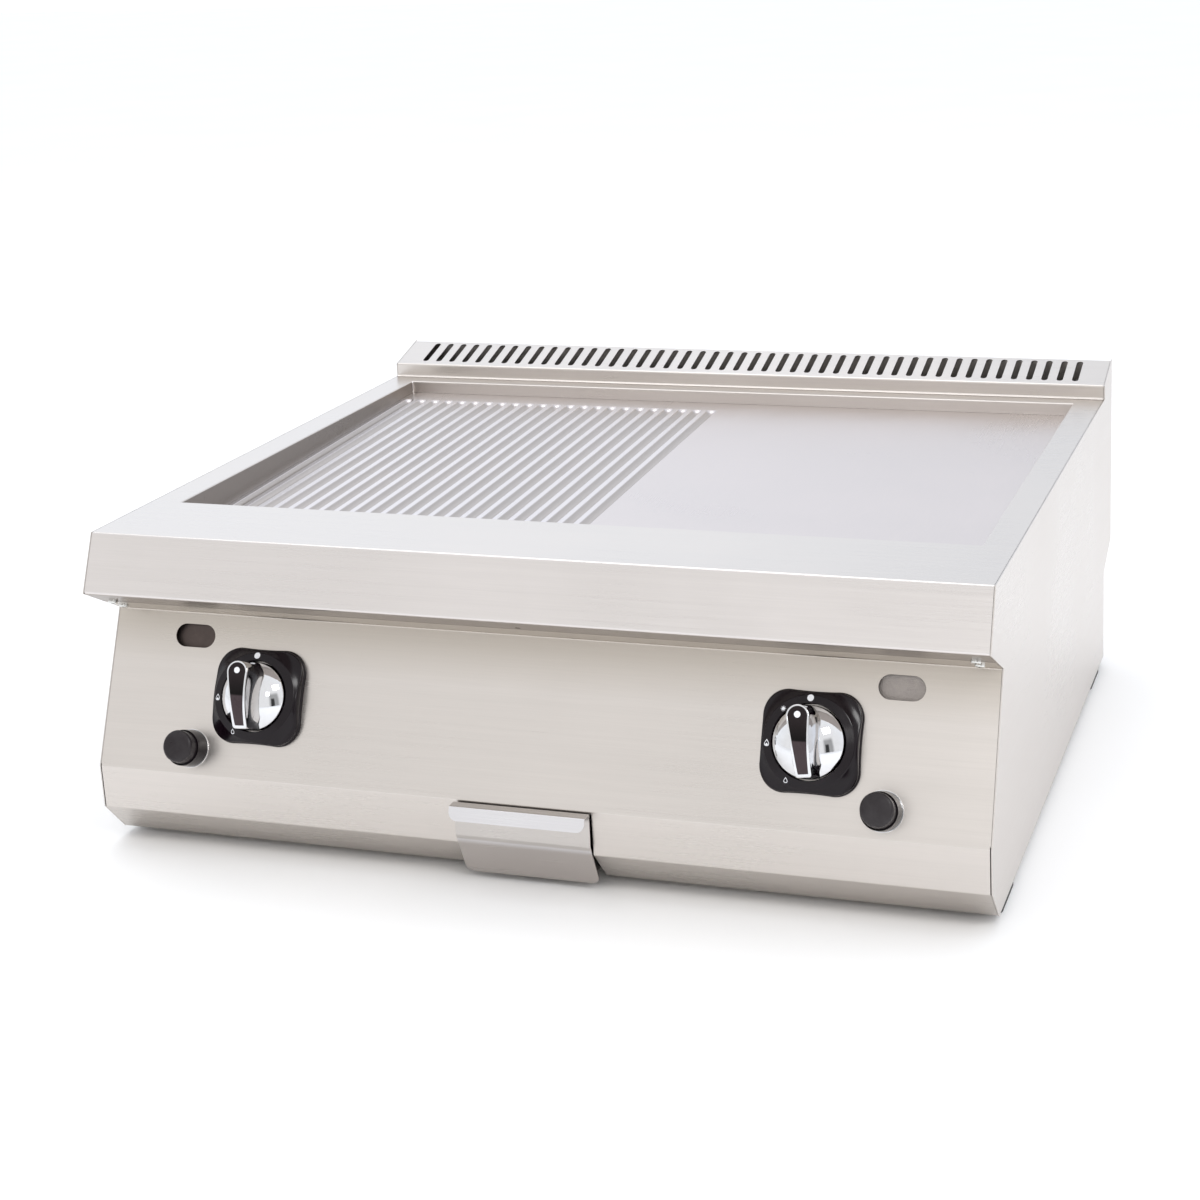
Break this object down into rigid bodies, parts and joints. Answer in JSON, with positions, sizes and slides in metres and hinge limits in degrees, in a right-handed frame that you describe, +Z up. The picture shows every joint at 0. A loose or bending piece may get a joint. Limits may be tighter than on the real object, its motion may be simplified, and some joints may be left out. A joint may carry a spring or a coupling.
{
  "type": "countertop gas griddle",
  "caption": "Countertop gas griddle with a half ribbed, half smooth sunken plate, slotted flue riser, push-and-turn knobs, push igniters and a pull-out drip tray.",
  "frame": {"origin": "centre of the footprint, on the surface that the feet stand on", "axes": "+X to the right across the width, the control panel faces -Y, +Z up"},
  "size_m": [0.8, 0.7502, 0.319],
  "materials": {
    "stainless": "brushed stainless, grain along the width",
    "tray_stainless": "brushed stainless, brighter",
    "plate_steel": "ground and satin polished",
    "galvanised": "dull galvanised or aluminised sheet",
    "burner_steel": "plain steel",
    "zinc": "bright zinc plated",
    "chrome": "polished chrome",
    "black_gloss": "black, satin gloss",
    "black_matte": "black, semi matt",
    "rubber": "black rubber",
    "brass": "turned brass",
    "aluminium_tube": "soft drawn tube",
    "copper_lead": "copper capillary",
    "ceramic": "white glazed ceramic",
    "lead_sleeve": "silicone sleeve"
  },
  "bodies": {
    "cabinet": {"worktop": "stainless", "control_panel": "stainless", "base_panel": "stainless", "back_panel": "stainless", "flue_riser": "stainless", "flue_duct": "galvanised", "griddle_plate": "plate_steel", "drain_spout": "stainless", "burner_box": "galvanised", "heat_shield": "galvanised", "burner_rails": "galvanised", "gas_rail": "galvanised", "gas_inlet_pipe": "galvanised", "inlet_nut": "brass", "side_panel_left": "stainless", "side_panel_right": "stainless", "tray_rail_left": "galvanised", "tray_rail_right": "galvanised", "burner_left": "burner_steel", "burner_right": "burner_steel", "injector_left": "brass", "injector_right": "brass", "tap_body_left": "brass", "tap_body_right": "brass", "burner_pipe_left": "aluminium_tube", "burner_pipe_right": "aluminium_tube", "pilot_burner_left": "burner_steel", "pilot_burner_right": "burner_steel", "pilot_pipe_left": "aluminium_tube", "pilot_pipe_right": "aluminium_tube", "thermocouple_left": "copper_lead", "thermocouple_right": "copper_lead", "spark_electrode_left": "ceramic", "spark_electrode_right": "ceramic", "ignition_lead_left": "lead_sleeve", "ignition_lead_right": "lead_sleeve", "igniter_body_left": "black_matte", "igniter_body_right": "black_matte", "bezel_left": "black_gloss", "bezel_right": "black_gloss", "injector_brackets": "galvanised", "igniter_rings": "chrome", "igniter_nuts": "zinc", "rubber_feet": "rubber", "foot_screws": "zinc", "lip_screws": "zinc", "tap_screws": "zinc", "back_screws": "zinc"},
    "tap_left": {"tap_plug_left": "brass"},
    "knob_left": {"spindle_left": "zinc", "knob_left": "chrome", "pointer_insert_left": "black_gloss"},
    "igniter_left": {"igniter_button_left": "black_matte"},
    "tap_right": {"tap_plug_right": "brass"},
    "knob_right": {"spindle_right": "zinc", "knob_right": "chrome", "pointer_insert_right": "black_gloss"},
    "igniter_right": {"igniter_button_right": "black_matte"},
    "tray": {"drip_tray": "stainless", "tray_front": "tray_stainless"}
  },
  "joints": [
    {"name": "knob_turn_left", "type": "hinge", "parent": "cabinet", "child": "tap_left", "pos_m": [-0.249, -0.32635, 0.1443], "axis": [0, -0.9208, 0.3901], "range_deg": [-3, 147]},
    {"name": "knob_push_left", "type": "slide", "parent": "tap_left", "child": "knob_left", "axis": [0, 0.9208, -0.3901], "range_m": [0, 0.004], "stiffness_N_per_m": 1500, "springref_m": -0.003},
    {"name": "igniter_push_left", "type": "slide", "parent": "cabinet", "child": "igniter_left", "axis": [0, 0.9208, -0.3901], "range_m": [0, 0.006], "stiffness_N_per_m": 1200, "springref_m": -0.004},
    {"name": "knob_turn_right", "type": "hinge", "parent": "cabinet", "child": "tap_right", "pos_m": [0.249, -0.32635, 0.1443], "axis": [0, -0.9208, 0.3901], "range_deg": [-7, 143]},
    {"name": "knob_push_right", "type": "slide", "parent": "tap_right", "child": "knob_right", "axis": [0, 0.9208, -0.3901], "range_m": [0, 0.004], "stiffness_N_per_m": 1500, "springref_m": -0.003},
    {"name": "igniter_push_right", "type": "slide", "parent": "cabinet", "child": "igniter_right", "axis": [0, 0.9208, -0.3901], "range_m": [0, 0.006], "stiffness_N_per_m": 1200, "springref_m": -0.004},
    {"name": "tray_slide", "type": "slide", "parent": "cabinet", "child": "tray", "axis": [0, -1, 0], "range_m": [0, 0.5]}
  ]
}
